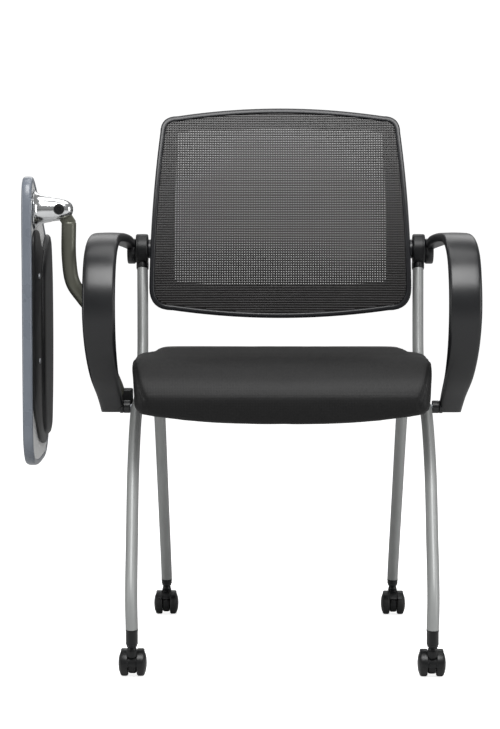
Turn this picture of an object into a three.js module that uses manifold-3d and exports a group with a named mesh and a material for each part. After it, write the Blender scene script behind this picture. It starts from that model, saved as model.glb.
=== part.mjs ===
// A nesting student chair: four-leg tube frame on twin-wheel casters, flip-up seat, mesh back,
// loop arms and a writing tablet that hangs beside the chair when it is stowed.
// Millimetres. The seat faces -Y, +Z is up, and the sitter's left side is +X.

import * as THREE from 'three';
import { mergeVertices } from 'three/addons/utils/BufferGeometryUtils.js';
import Module from 'manifold-3d';

const wasm = await Module();
wasm.setup();

// Driving dimensions

const gap = 0.3;                      // between pieces that touch

const tube = { width: 19, depth: 32, wall: 2, footX: 230, lean: 0.02, footZ: 76 };
const legFoot = { y: 261, rearX: 204 };
const ferrule = { frontTop: 76, rearTop: 61, bottom: 49, bore: 5.3 };
const caster = { radius: 20, halfWidth: 21.7, innerFace: 6.8, plate: 6, hood: 17.5, trail: 16, neckTop: 48.6 };

const crossTube = { y: 25, z: 408, radius: 12.5, wall: 2, halfLength: 226.5 };
const pivotTube = { y: 95, z: 425, radius: 10, wall: 2, halfLength: 227 };

const hub = { y: 186, z: 656, radius: 26, inner: 231, outer: 252, cavity: 15.5, pin: 5 };
const armBolt = { y: -36, z: 398, radius: 4 };
const arm = { thickness: 14, endRadius: 22, cutZ: 389 };

const back = { bottom: 549, top: 890, crown: 15, drop: 14, halfBottom: 228, halfTop: 211, hollow: 25, rim: 9 };
const window_ = { bottom: 597, top: 860, crown: 5, drop: 5, halfBottom: 187, halfTop: 182 };

const seat = { front: -245, rear: 190, steps: 16, panSteps: 11, panFront: -0.5, panRear: 0.875, panHalf: 212, panThick: 5 };

const tablet = { under: -395, face: -411, axisY: -96, axisZ: 719, hingeX: -354, band: 9 };
const post = { radius: 11.75, wall: 2, topX: -340, topZ: 695.5, lug: 10 };

// Materials, one for each real finish

function finish(color, roughness, metalness) {
  return new THREE.MeshStandardMaterial({ color, roughness, metalness });
}

const silverPaint = finish('#b4b5b2', 0.42, 0.55);
const postPaint = finish('#77776d', 0.42, 0.5);
const blackPlastic = finish('#1b1c1e', 0.5, 0);
const casterPlastic = finish('#141517', 0.42, 0);
const meshFabric = finish('#38373a', 0.85, 0);
const seatFabric = finish('#17171a', 0.8, 0);
const polishedAluminium = finish('#c9cbcd', 0.18, 1);
const zincSteel = finish('#a9abad', 0.35, 1);
const laminate = finish('#d5d5d3', 0.3, 0);
const edgePlastic = finish('#3d4045', 0.5, 0);
const rubber = finish('#1c1c1c', 0.9, 0);

// Solids and booleans

function withoutDegenerate(index) {
  const kept = [];
  for (let i = 0; i < index.length; i += 3) {
    const [a, b, c] = [index[i], index[i + 1], index[i + 2]];
    if (a !== b && b !== c && c !== a) kept.push(a, b, c);
  }
  return kept;
}

function signedVolume(position, index) {
  const [a, b, c] = [new THREE.Vector3(), new THREE.Vector3(), new THREE.Vector3()];
  let volume = 0;
  for (let i = 0; i < index.length; i += 3) {
    a.fromBufferAttribute(position, index[i]);
    b.fromBufferAttribute(position, index[i + 1]);
    c.fromBufferAttribute(position, index[i + 2]);
    volume += a.dot(b.cross(c)) / 6;
  }
  return volume;
}

// One closed skin with shared corners and its faces pointing out.
function closed(geometry) {
  const plain = geometry.clone();
  plain.deleteAttribute('normal');
  plain.deleteAttribute('uv');
  const merged = mergeVertices(plain, 1e-3);
  let index = withoutDegenerate(Array.from(merged.index.array));
  if (signedVolume(merged.attributes.position, index) < 0) {
    index = index.reverse();
  }
  merged.setIndex(index);
  return merged;
}

function toSolid(geometry) {
  const skin = closed(geometry);
  const vertProperties = new Float32Array(skin.attributes.position.array);
  const triVerts = new Uint32Array(skin.index.array);
  return new wasm.Manifold(new wasm.Mesh({ numProp: 3, vertProperties, triVerts }));
}

function toGeometry(solid) {
  const mesh = solid.getMesh();
  const geometry = new THREE.BufferGeometry();
  geometry.setAttribute('position', new THREE.BufferAttribute(new Float32Array(mesh.vertProperties), 3));
  geometry.setIndex(Array.from(mesh.triVerts));
  return geometry;
}

function join(first, ...others) {
  return toGeometry(others.reduce((solid, other) => solid.add(toSolid(other)), toSolid(first)));
}

function cut(first, ...others) {
  return toGeometry(others.reduce((solid, other) => solid.subtract(toSolid(other)), toSolid(first)));
}

function common(first, second) {
  return toGeometry(toSolid(first).intersect(toSolid(second)));
}

// Basic shapes

function block(x0, x1, y0, y1, z0, z1) {
  const geometry = new THREE.BoxGeometry(x1 - x0, y1 - y0, z1 - z0);
  return geometry.translate((x0 + x1) / 2, (y0 + y1) / 2, (z0 + z1) / 2);
}

// A round bar along x, y or z, from one coordinate to another; the centre gives the other two.
function bar(axis, radius, from, to, centre, sides = 20) {
  const geometry = new THREE.CylinderGeometry(radius, radius, to - from, sides);
  const middle = (from + to) / 2;
  if (axis === 'x') return geometry.rotateZ(Math.PI / 2).translate(middle, centre[0], centre[1]);
  if (axis === 'y') return geometry.translate(centre[0], middle, centre[1]);
  return geometry.rotateX(Math.PI / 2).translate(centre[0], centre[1], middle);
}

function sleeve(axis, radius, bore, from, to, centre, sides = 20) {
  return cut(bar(axis, radius, from, to, centre, sides), bar(axis, bore, from - 1, to + 1, centre, sides));
}

// A profile of [along, radius] pairs turned about an axis parallel to x.
function turned(profile, centreY, centreZ, sides) {
  const points = profile.map(([along, radius]) => new THREE.Vector2(radius, along));
  const geometry = new THREE.LatheGeometry(points, sides);
  return closed(geometry.rotateZ(-Math.PI / 2)).translate(0, centreY, centreZ);
}

function ovalPoints(width, depth, count) {
  return Array.from({ length: count }, (_, i) => {
    const angle = (i + 0.5) / count * Math.PI * 2;
    const size = 1 / Math.cos(Math.PI / count) ** 0.5;
    return new THREE.Vector2(Math.cos(angle) * size * width / 2, Math.sin(angle) * size * depth / 2);
  });
}

// An oval section, with a bore of four fewer sides when it has a wall.
function ovalShape(width, depth, wall, count = 12) {
  const shape = new THREE.Shape(ovalPoints(width, depth, count));
  if (wall) shape.holes.push(new THREE.Path(ovalPoints(width - 2 * wall, depth - 2 * wall, count - 4)));
  return shape;
}

function vectors(points) {
  return points.map(([x, y, z]) => new THREE.Vector3(x, y, z));
}

function swept(shape, points, steps) {
  const extrudePath = new THREE.CatmullRomCurve3(vectors(points), false, 'centripetal');
  return new THREE.ExtrudeGeometry(shape, { steps, extrudePath });
}

// A flat outline drawn in (y, z) and given thickness from x0 to x1.
function plateYZ(shape, x0, x1) {
  const geometry = new THREE.ExtrudeGeometry(shape, { depth: x1 - x0, bevelEnabled: false, curveSegments: 8 });
  const toYZ = new THREE.Matrix4().makeBasis(
    new THREE.Vector3(0, 1, 0), new THREE.Vector3(0, 0, 1), new THREE.Vector3(1, 0, 0));
  return geometry.applyMatrix4(toYZ).translate(x0, 0, 0);
}

// Moves every corner of a subdivided box; the box spans -1 to 1 on each axis.
function warped(segments, place) {
  const geometry = new THREE.BoxGeometry(2, 2, 2, ...segments);
  const position = geometry.attributes.position;
  for (let i = 0; i < position.count; i += 1) {
    const moved = place(position.getX(i), position.getY(i), position.getZ(i));
    position.setXYZ(i, moved[0], moved[1], moved[2]);
  }
  return closed(geometry);
}

function mix(a, b, t) {
  return a + (b - a) * t;
}

// Smooth function through [at, value] pairs in rising order.
function through(pairs) {
  const curve = new THREE.CatmullRomCurve3(pairs.map(([at, value]) => new THREE.Vector3(at, value, 0)));
  const samples = curve.getPoints(pairs.length * 8);
  return (at) => {
    let i = 1;
    while (i < samples.length - 1 && samples[i].x < at) i += 1;
    const [a, b] = [samples[i - 1], samples[i]];
    return mix(a.y, b.y, THREE.MathUtils.clamp((at - a.x) / (b.x - a.x), 0, 1));
  };
}

// The chair

const chair = new THREE.Group();

function piece(name, geometry, material, parent = chair) {
  const mesh = new THREE.Mesh(closed(geometry), material);
  mesh.name = name;
  parent.add(mesh);
  return mesh;
}

const sides = [
  { name: 'left', sign: 1 },
  { name: 'right', sign: -1 },
];

function bothSides(prefix, geometry, material) {
  for (const side of sides) {
    piece(`${prefix}_${side.name}`, geometry, material).scale.x = side.sign;
  }
}

// Frame tubes

function sideTubeX(z) {
  return tube.footX + tube.lean * (z - tube.footZ);
}

const sideTubePath = [
  [-261, 60], [-260, 120], [-213, 209], [-152, 308], [-56, 388], [20, 402], [90, 428],
  [138, 475], [160, 530], [177, 588], [186.5, 620],
].map(([y, z]) => [0, y, z]);

// The tube is swept in the plane x = 0, then leaned outwards a little as it rises.
function sideTube(grow, wall) {
  const shape = ovalShape(tube.width + 2 * grow, tube.depth + 2 * grow, wall);
  const geometry = swept(shape, sideTubePath, 18);
  const position = geometry.attributes.position;
  for (let i = 0; i < position.count; i += 1) {
    position.setX(i, position.getX(i) + sideTubeX(position.getZ(i)));
  }
  return geometry;
}

function makeSideTubes() {
  const foot = block(200, 260, -300, -220, 0, ferrule.frontTop + gap);
  const boltHole = bar('x', armBolt.radius + gap, 215, 260, [armBolt.y, armBolt.z], 12);
  bothSides('side_tube', cut(sideTube(0, tube.wall), foot, boltHole), silverPaint);
}

function makeRearLegs() {
  const path = [[30, 402], [57, 371], [148, 235.5], [240, 98], [256, 72], [264, 50]]
    .map(([y, z]) => [legFoot.rearX, y, z]);
  const raw = swept(ovalShape(tube.width, tube.depth, tube.wall), path, 8);
  const saddle = bar('x', crossTube.radius + gap, 180, 230, [crossTube.y, crossTube.z], 24);
  const foot = block(180, 230, 200, 300, 0, ferrule.rearTop + gap);
  const above = block(180, 230, -20, 120, crossTube.z, crossTube.z + 60);
  bothSides('rear_leg', cut(raw, saddle, foot, above), silverPaint);
}

function makeCrossTube(name, spec) {
  const bore = spec.radius - spec.wall;
  const centre = [spec.y, spec.z];
  piece(name, sleeve('x', spec.radius, bore, -spec.halfLength, spec.halfLength, centre, 16), silverPaint);
}

function makeFerrules() {
  const legs = [
    { row: 'front', x: tube.footX, y: -legFoot.y, top: ferrule.frontTop },
    { row: 'rear', x: legFoot.rearX, y: legFoot.y, top: ferrule.rearTop },
  ];
  for (const leg of legs) {
    const height = leg.top - ferrule.bottom;
    const shape = ovalShape(tube.width + 0.6, tube.depth + 0.6, 0);
    const outer = new THREE.ExtrudeGeometry(shape, { depth: height, bevelEnabled: false })
      .translate(leg.x, leg.y, ferrule.bottom);
    const bore = bar('z', ferrule.bore, ferrule.bottom - 1, leg.top + 1, [leg.x, leg.y], 10);
    bothSides(`ferrule_${leg.row}`, cut(outer, bore), blackPlastic);
  }
}

// Casters

// A centre plate and an open hood over both wheels, with the stem that turns in the leg.
function casterBody(trail) {
  const { radius, plate, hood, neckTop } = caster;
  const axle = [trail, radius];
  const facing = Math.sign(trail);
  const disc = bar('x', radius - 4, -plate, plate, axle, 16);
  const shell = sleeve('x', radius + 2.2, radius + 0.9, -hood, hood, axle, 20);
  const below = block(-30, 30, trail - 60, trail + 60, -20, radius - 2);
  const openSide = new THREE.BoxGeometry(60, 60, 60).translate(0, 30 * facing, -30)
    .rotateX(-facing * 0.55).translate(0, trail, radius);
  const bridge = block(-plate, plate, Math.min(trail, 0) - 2, Math.max(trail, 0) + 2, radius, radius + 21);
  const neck = bar('z', 8, radius + 12, neckTop, [0, 0], 12);
  const stem = bar('z', 5, neckTop - 2, ferrule.rearTop - 1, [0, 0], 10);
  const wheelRooms = [1, -1].map((s) => {
    const [near, far] = s > 0 ? [plate + 0.2, 40] : [-40, -plate - 0.2];
    return sleeve('x', radius + 0.9, 1, near, far, axle, 20);
  });
  const axleHole = bar('x', 2.9, -30, 30, axle, 8);
  return cut(join(disc, cut(shell, below, openSide), bridge, neck, stem), ...wheelRooms, axleHole);
}

function wheelGeometry() {
  const { radius, halfWidth, innerFace } = caster;
  const facets = 16;
  const grow = 1 / Math.cos(Math.PI / facets);
  const profile = [
    [halfWidth, 0], [halfWidth - 0.8, 12.5], [halfWidth - 3.6, 18], [halfWidth - 6.2, radius],
    [innerFace, radius], [innerFace, 3], [18.4, 3], [18.4, 0],
  ].map(([along, r]) => [along, r * grow]);
  return turned(profile, 0, 0, facets).rotateX(Math.PI / facets);
}

function makeCasters() {
  const wheel = wheelGeometry();
  const corners = [
    { row: 'front', x: tube.footX, y: -legFoot.y, trail: caster.trail },
    { row: 'rear', x: legFoot.rearX, y: legFoot.y, trail: -caster.trail },
  ];
  for (const corner of corners) {
    for (const side of sides) {
      const group = new THREE.Group();
      group.position.set(side.sign * corner.x, corner.y, 0);
      chair.add(group);
      const place = `${corner.row}_${side.name}`;
      piece(`caster_body_${place}`, casterBody(corner.trail), casterPlastic, group);
      const axle = bar('x', 2.6, -18, 18, [corner.trail, caster.radius], 8);
      piece(`caster_axle_${place}`, axle, zincSteel, group);
      for (const wheelSide of sides) {
        const mesh = piece(`wheel_${place}_${wheelSide.name}`, wheel, casterPlastic, group);
        mesh.scale.x = wheelSide.sign;
        mesh.position.set(0, corner.trail, caster.radius);
      }
    }
  }
}

// Hubs at the tops of the uprights

function makeHubs() {
  const centre = [hub.y, hub.z];
  const knuckle = bar('x', hub.radius, hub.inner, hub.outer, centre, 22);
  const along = [0.2747, 0.9615];
  const end = [186.7, 620.4];
  const socketPath = [0, 12, 24].map((d) => [241, end[0] + along[0] * d, end[1] + along[1] * d]);
  const spigotPath = [-24, -10, 4].map((d) => [241, end[0] + along[0] * d, end[1] + along[1] * d]);
  const socket = swept(ovalShape(tube.width + 2, tube.depth + 2, 0), socketPath, 1);
  const spigot = swept(ovalShape(12, 23, 0), spigotPath, 1);
  const cavity = bar('x', hub.cavity, hub.inner - 2, 249, centre, 14);
  bothSides('hub', cut(join(knuckle, socket, spigot), cavity), blackPlastic);
  bothSides('torsion_bush', sleeve('x', 15, 5.7, 232, 248.6, centre, 14), rubber);
  bothSides('hub_pin', bar('x', hub.pin, 213, 247, centre, 12), zincSteel);
}

// Arms

const armStations = [
  // centre x, y, z, width
  [260.8, 186, 662, 15], [270, 110, 671, 36], [282, 20, 675, 48], [286.5, -60, 670, 51],
  [288, -118, 645, 52], [288, -150, 600, 52], [288, -155, 550, 52], [287, -138, 500, 50],
  [284, -105, 455, 46], [279, -60, 418, 40], [276, -18, 383, 36],
];

function makeArms() {
  const path = new THREE.CatmullRomCurve3(armStations.map(([x, y, z]) => new THREE.Vector3(x, y, z)));
  const widths = new THREE.CatmullRomCurve3(armStations.map(([, , , w], i) => new THREE.Vector3(w, i, 0)));
  const corner = 5;
  const ribbon = warped([4, 4, 18], (u, v, w) => {
    const t = (w + 1) / 2;
    const centre = path.getPoint(t);
    const along = path.getTangent(t).setX(0).normalize();
    const halfWidth = widths.getPoint(t).x / 2;
    const halfThick = arm.thickness / 2;
    const across = roundedSpan(u, v, halfWidth, halfThick, corner);
    return [centre.x + across[0], centre.y - along.z * across[1], centre.z + along.y * across[1]];
  });
  const endDisc = bar('x', arm.endRadius, hub.outer + 0.6, 266.6, [hub.y, 652], 18);
  const boss = bar('x', 10.5, 258.3, 264, [armBolt.y, armBolt.z], 14);
  const boltHole = bar('x', armBolt.radius + gap, 250, 276, [armBolt.y, armBolt.z], 12);
  const below = block(240, 320, -80, 40, 340, arm.cutZ);
  bothSides('arm', cut(join(ribbon, endDisc, boss), boltHole, below), blackPlastic);
  const centre = [armBolt.y, armBolt.z];
  bothSides('arm_spacer', sleeve('x', 10.5, armBolt.radius + gap, 247, 258, centre, 14), blackPlastic);
  const shank = bar('x', armBolt.radius, 224, 275, centre, 12);
  const head = bar('x', 7, 220.5, 225, centre, 16);
  bothSides('arm_bolt', join(shank, head), zincSteel);
}

// A point of the square from -1 to 1 moved onto a rectangle with rounded corners.
// Grid lines at a half of the square fall where the rounding starts.
function roundedSpan(u, v, halfWidth, halfHeight, radius) {
  const spread = (value, half) => {
    const flat = half - radius;
    const size = Math.abs(value);
    return Math.sign(value) * (size <= 0.5 ? size * 2 * flat : flat + (size - 0.5) * 2 * radius);
  };
  const [x, y] = [spread(u, halfWidth), spread(v, halfHeight)];
  const [flatX, flatY] = [halfWidth - radius, halfHeight - radius];
  const over = [Math.max(Math.abs(x) - flatX, 0), Math.max(Math.abs(y) - flatY, 0)];
  const length = Math.hypot(over[0], over[1]);
  if (length <= radius) return [x, y];
  const scale = radius / length;
  return [Math.sign(x) * (flatX + over[0] * scale), Math.sign(y) * (flatY + over[1] * scale)];
}

// Back

function backFront(x, z) {
  const t = (z - 535) / 370;
  return 158 + 8.4 * t + 58.6 * t * t + back.hollow * (1 - (x / back.halfBottom) ** 2);
}

// Points along the bottom or top edge, a corner, a side and the next corner.
const panelSteps = [9, 3, 6, 3];

function panelPoints({ halfBottom, halfTop, bottom, top, crown, drop, rBottom, rTop }) {
  const shape = new THREE.Shape();
  shape.moveTo(-halfBottom + rBottom, bottom);
  shape.quadraticCurveTo(0, bottom - 2 * drop, halfBottom - rBottom, bottom);
  shape.quadraticCurveTo(halfBottom, bottom, halfBottom, bottom + rBottom);
  shape.lineTo(halfTop, top - rTop);
  shape.quadraticCurveTo(halfTop, top, halfTop - rTop, top);
  shape.quadraticCurveTo(0, top + 2 * crown, -halfTop + rTop, top);
  shape.quadraticCurveTo(-halfTop, top, -halfTop, top - rTop);
  shape.lineTo(-halfBottom, bottom + rBottom);
  shape.quadraticCurveTo(-halfBottom, bottom, -halfBottom + rBottom, bottom);
  return shape.curves.flatMap((curve, i) => curve.getSpacedPoints(panelSteps[i % 4]).slice(0, -1));
}

function backPanel(inset) {
  return panelPoints({
    halfBottom: back.halfBottom - inset, halfTop: back.halfTop - inset,
    bottom: back.bottom + inset, top: back.top - inset,
    crown: back.crown, drop: back.drop,
    rBottom: 40 - inset, rTop: 30 - inset,
  });
}

function windowPanel() {
  return panelPoints({ ...window_, rBottom: 20, rTop: 18 });
}

// A ring hollowed to the back's curve. Its section is a loop of [outline, depth] corners.
function backRing(corners) {
  const count = corners[0][0].length;
  const geometry = new THREE.TorusGeometry(2, 1, corners.length, count);
  const position = geometry.attributes.position;
  for (let i = 0; i < position.count; i += 1) {
    const [outline, depth] = corners[Math.floor(i / (count + 1)) % corners.length];
    const point = outline[i % (count + 1) % count];
    position.setXYZ(i, point.x, backFront(point.x, point.y) + depth, point.y);
  }
  return geometry;
}

function makeBack() {
  const [outer, inner, opening] = [backPanel(0), backPanel(back.rim), windowPanel()];
  const frameRing = backRing([[outer, 0], [inner, 0], [inner, 14], [opening, 14], [opening, 20], [outer, 20]]);
  const pinCentre = [hub.y, hub.z];
  const lugs = [1, -1].map((s) => {
    const [near, far] = s > 0 ? [210.5, 222] : [-222, -210.5];
    return block(near, far, 178, 198, hub.z - 12, hub.z + 12);
  });
  const bores = [1, -1].map((s) => bar('x', hub.pin + gap, s > 0 ? 212 : -240, s > 0 ? 240 : -212, pinCentre, 16));
  piece('back_frame', cut(join(frameRing, ...lugs), ...bores), blackPlastic);
  const seatLine = backPanel(10.5);
  const ring = backRing([[seatLine, 6.6], [opening, 6.6], [opening, 12.6], [seatLine, 12.6]]);
  const room = [1, -1].map((s) => {
    const [near, far] = s > 0 ? [205, 240] : [-240, -205];
    return block(near, far, 150, 220, hub.z - 15, hub.z + 15);
  });
  piece('mesh_carrier', cut(ring, ...room), blackPlastic);
  const inset = 13;
  const cornerRadius = 38;
  const sheet = warped([10, 8, 1], (u, v, w) => {
    const t = (v + 1) / 2;
    const halfWidth = mix(back.halfBottom, back.halfTop, t) - inset;
    const [x, y] = roundedSpan(edgeGrid(u, 10), edgeGrid(v, 8), halfWidth, 172, cornerRadius);
    const middle = (back.bottom + back.top) / 2;
    const swell = 1 - (x / halfWidth) ** 2;
    const z = middle + y * ((back.top - back.bottom) / 2 - inset) / 172 + swell * (v > 0 ? back.crown : -back.drop) * v * v;
    return [x, backFront(x, z) + 4.6 - w * 0.6, z];
  });
  piece('back_mesh', sheet, meshFabric);
}

// Even grid lines moved so that the outermost one on each side marks the start of a rounded corner.
function edgeGrid(value, count) {
  const inner = 1 - 2 / count;
  const size = Math.abs(value);
  return Math.sign(value) * (size <= inner + 1e-6 ? (size / inner) * 0.5 : 1);
}

// Seat

const seatTop = through([[-245, 404], [-240, 432], [-222, 462], [-185, 482], [-130, 489], [0, 489], [120, 487], [180, 484], [190, 474]]);
const seatBottom = through([[-245, 394], [-236, 387], [-222, 388], [-205, 402], [-185, 420], [-120, 432], [0, 440], [95, 447.5], [180, 450], [190, 455]]);
const seatHalf = through([[-245, 205], [-235, 222], [-200, 233], [-120, 237], [-60, 233], [0, 224], [60, 220], [150, 216], [178, 206], [190, 188]]);

function seatY(v) {
  const eased = Math.sin(v * Math.PI / 2) * 0.75 + v * 0.25;
  return mix(seat.front, seat.rear, (eased + 1) / 2);
}

function makeSeat() {
  const cushion = warped([10, seat.steps, 3], (u, v, w) => {
    const y = seatY(v);
    const [low, high] = [seatBottom(y), seatTop(y)];
    const across = Math.sin(u * Math.PI / 2) * 0.6 + u * 0.4;
    const bulge = 6 * (1 - w * w) - 6 * Math.max(w, 0) ** 2;
    const x = across * (seatHalf(y) + bulge);
    const edge = Math.abs(u) ** 6;
    const lift = w < 0 && y < -150 ? 16 * edge * ((-150 - y) / 95) : 0;
    const z = mix(low + lift, high - 7 * edge, (w + 1) / 2);
    return [x, y, z];
  });
  piece('seat_cushion', cushion, seatFabric);
  const pan = warped([6, seat.panSteps, 1], (u, v, w) => {
    const y = seatY(mix(seat.panFront, seat.panRear, (v + 1) / 2));
    const half = Math.min(seat.panHalf, seatHalf(y) - 10);
    return [u * half, y, seatBottom(y) - 1.2 - (w > 0 ? 0 : seat.panThick)];
  });
  piece('seat_pan', pan, blackPlastic);
  const blockShape = new THREE.Shape();
  blockShape.moveTo(68, 437.6);
  blockShape.lineTo(78, 430);
  blockShape.lineTo(81, 420);
  blockShape.absarc(pivotTube.y, pivotTube.z, 14.5, Math.PI * 1.12, Math.PI * 1.88, false);
  blockShape.lineTo(109, 430);
  blockShape.lineTo(124, 439.2);
  const knuckle = plateYZ(blockShape, 132, 162);
  const bore = bar('x', pivotTube.radius + gap, 120, 180, [pivotTube.y, pivotTube.z], 16);
  bothSides('seat_hinge', cut(knuckle, bore), blackPlastic);
  bothSides('seat_bumper', block(96, 124, 13, 37, 421.6, 434.2), rubber);
}

// Tablet post, hinge and board, on the sitter's right

const postPath = [
  [-340, -96, 695.5], [-340, -96, 640], [-334, -96, 602], [-318, -94, 578], [-300, -88, 553], [-290, -70, 510],
  [-281, -35, 458], [-272, 0, 425], [-268.5, 13, 405], [-268, 15, 388],
];

function roundShape(radius, wall) {
  return ovalShape(radius * 2, radius * 2, wall, 12);
}

function makePost() {
  piece('tablet_post', swept(roundShape(post.radius, post.wall), postPath, 18), postPaint);
  const body = block(-285, -241, -2, 33, 386, 424);
  const socket = swept(roundShape(post.radius + 0.5, 0), postPath, 18);
  const tubeRoom = sideTube(0.5, 0).scale(-1, 1, 1);
  piece('post_clamp', cut(body, socket, closed(tubeRoom)), blackPlastic);
  const neck = new THREE.Shape();
  neck.moveTo(-350.5, 695.9);
  neck.lineTo(-329.5, 695.9);
  neck.lineTo(-329.5, 701);
  neck.lineTo(-345, 725);
  neck.absarc(tablet.hingeX, tablet.axisZ, 11, 0.55, Math.PI * 1.05, false);
  const lug = new THREE.ExtrudeGeometry(neck, { depth: post.lug, bevelEnabled: false, curveSegments: 8 })
    .rotateX(Math.PI / 2).translate(0, tablet.axisY + post.lug / 2, 0);
  const plug = bar('z', post.radius - post.wall - 1.2, 672, 696.5, [post.topX, tablet.axisY], 16);
  const bore = bar('y', 4.3, tablet.axisY - 20, tablet.axisY + 20, [tablet.hingeX, tablet.axisZ], 14);
  piece('post_head', cut(join(lug, plug), bore), polishedAluminium);
}

function makeTabletBracket() {
  const profile = [
    [tablet.under - 6, 0], [tablet.under - 6, 8], [tablet.under + gap, 8], [tablet.under + gap, 30],
    [tablet.under + 3, 30], [tablet.under + 8, 24], [-372, 20.5], [-356, 18.5], [-343, 14.5],
    [-336.5, 11], [-333.5, 6], [-333.5, 0],
  ];
  const cone = turned(profile, tablet.axisY, tablet.axisZ, 20);
  const half = post.lug / 2 + gap;
  const slot = block(-370, -320, tablet.axisY - half, tablet.axisY + half, 680, 760);
  const centre = [tablet.hingeX, tablet.axisZ];
  const bore = bar('y', 4.3, tablet.axisY - 40, tablet.axisY + 40, centre, 14);
  const frontSeat = bar('y', 9, tablet.axisY - 40, tablet.axisY - 15, centre, 14);
  const rearSeat = bar('y', 8, tablet.axisY + 14, tablet.axisY + 40, centre, 14);
  piece('tablet_bracket', cut(cone, slot, bore, frontSeat, rearSeat), polishedAluminium);
  const shank = bar('y', 4, tablet.axisY - 14.6, tablet.axisY + 16, centre, 14);
  const head = bar('y', 7, tablet.axisY + 14.4, tablet.axisY + 18.5, centre, 16);
  piece('hinge_bolt', join(shank, head), zincSteel);
  piece('bolt_cap', bar('y', 8, tablet.axisY - 19.5, tablet.axisY - 15.3, centre, 20), blackPlastic);
}

// The board's outline in (y, z), as a closed curve through its shoulders.
const boardCorners = [
  [-140, 600], [-140, 400], [-136, 345], [-118, 318], [-75, 306], [-10, 305], [52, 313], [86, 345], [102, 400],
  [111, 480], [112, 560], [104, 625], [75, 669], [20, 708], [-49, 749], [-104, 771], [-128, 762], [-139, 735],
];

function boardOutline(inset) {
  const curve = new THREE.CatmullRomCurve3(vectors(boardCorners.map(([y, z]) => [y, z, 0])), true, 'centripetal');
  const points = curve.getSpacedPoints(48).slice(0, -1);
  return points.map((point, i) => {
    const before = points[(i + points.length - 1) % points.length];
    const after = points[(i + 1) % points.length];
    const along = after.clone().sub(before).normalize();
    return new THREE.Vector2(point.x - along.y * inset, point.y + along.x * inset);
  });
}

function makeTablet() {
  const band = new THREE.Shape(boardOutline(0));
  band.holes.push(new THREE.Path(boardOutline(tablet.band)));
  piece('tablet_edge', plateYZ(band, tablet.face, tablet.under), edgePlastic);
  const core = plateYZ(new THREE.Shape(boardOutline(tablet.band + gap + 0.2)), tablet.face + 0.5, tablet.under - 1);
  const centre = [tablet.axisY, tablet.axisZ];
  const recess = bar('x', 32, tablet.under - 4.5, tablet.under + 5, centre, 20);
  const pinRoom = bar('x', 9, tablet.under - 7, tablet.under + 5, centre, 16);
  piece('tablet_board', cut(core, recess, pinRoom), laminate);
  const plate = sleeve('x', 31.6, 8.4, tablet.under - 4, tablet.under - 0.2, centre, 20);
  piece('swivel_plate', plate, zincSteel);
  const panel = plateYZ(new THREE.Shape(boardOutline(16)), tablet.under - 0.6, tablet.under + 3);
  const bandRoom = block(-400, -380, -200, 200, 372, 672);
  const ridge = new THREE.Shape();
  ridge.moveTo(20, 676);
  ridge.lineTo(2, 640);
  ridge.lineTo(-2, 520);
  ridge.lineTo(2, 400);
  ridge.lineTo(30, 352);
  ridge.lineTo(64, 352);
  ridge.lineTo(80, 400);
  ridge.lineTo(91, 480);
  ridge.lineTo(92, 560);
  ridge.lineTo(82, 625);
  ridge.lineTo(58, 662);
  const ridgeSolid = plateYZ(ridge, tablet.under - 0.6, tablet.under + 9);
  piece('tablet_under_cover', join(common(panel, bandRoom), ridgeSolid), blackPlastic);
  for (const [name, y, z] of [['upper', -70, 612], ['lower', -70, 475]]) {
    piece(`tablet_screw_${name}`, bar('x', 4.5, tablet.under + 3.4, tablet.under + 5.4, [y, z], 12), zincSteel);
  }
}

makeSideTubes();
makeRearLegs();
makeCrossTube('front_cross_tube', crossTube);
makeCrossTube('pivot_cross_tube', pivotTube);
makeFerrules();
makeCasters();
makeHubs();
makeArms();
makeBack();
makeSeat();
makePost();
makeTabletBracket();
makeTablet();

// The origin is on the floor, under the middle of the whole outline.
const box = new THREE.Box3().setFromObject(chair, true);
chair.position.set(-(box.min.x + box.max.x) / 2, -(box.min.y + box.max.y) / 2, -box.min.z);

const part = new THREE.Group();
part.add(chair);

export default part;
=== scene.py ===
import math

import bmesh
import bpy
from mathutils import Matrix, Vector


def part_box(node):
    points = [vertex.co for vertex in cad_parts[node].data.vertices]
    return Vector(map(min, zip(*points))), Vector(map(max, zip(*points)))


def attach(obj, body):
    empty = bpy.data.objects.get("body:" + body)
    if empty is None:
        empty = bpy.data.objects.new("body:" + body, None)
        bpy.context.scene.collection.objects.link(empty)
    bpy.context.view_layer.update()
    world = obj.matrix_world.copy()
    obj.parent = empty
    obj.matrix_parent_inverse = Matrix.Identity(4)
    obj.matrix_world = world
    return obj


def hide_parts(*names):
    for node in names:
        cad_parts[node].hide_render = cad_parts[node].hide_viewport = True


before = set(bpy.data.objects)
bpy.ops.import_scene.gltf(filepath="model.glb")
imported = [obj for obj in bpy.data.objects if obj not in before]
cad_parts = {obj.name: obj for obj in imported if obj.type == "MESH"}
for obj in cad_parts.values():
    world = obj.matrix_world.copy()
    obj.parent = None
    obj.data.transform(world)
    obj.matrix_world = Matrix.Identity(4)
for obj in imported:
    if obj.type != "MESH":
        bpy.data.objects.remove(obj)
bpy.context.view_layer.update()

mm = 0.001
seatLow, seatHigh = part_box("seat_cushion")
pivotLow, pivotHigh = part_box("pivot_cross_tube")
midX = (seatLow.x + seatHigh.x) / 2      # the chair's own middle; the stowed tablet widens one side only
midY = (pivotLow.y + pivotHigh.y) / 2 - 95 * mm    # the pivot tube lies 95 mm behind the chair's own zero
sides = (("left", 1), ("right", -1))     # the sitter's left is +X
casterRows = ("front", "rear")


def at(x, y, z):
    return Vector((midX + x * mm, midY + y * mm, z * mm))


def own(point):
    # a frame point in the chair's own millimetres
    return Vector(((point.x - midX) / mm, (point.y - midY) / mm, point.z / mm))


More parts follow.
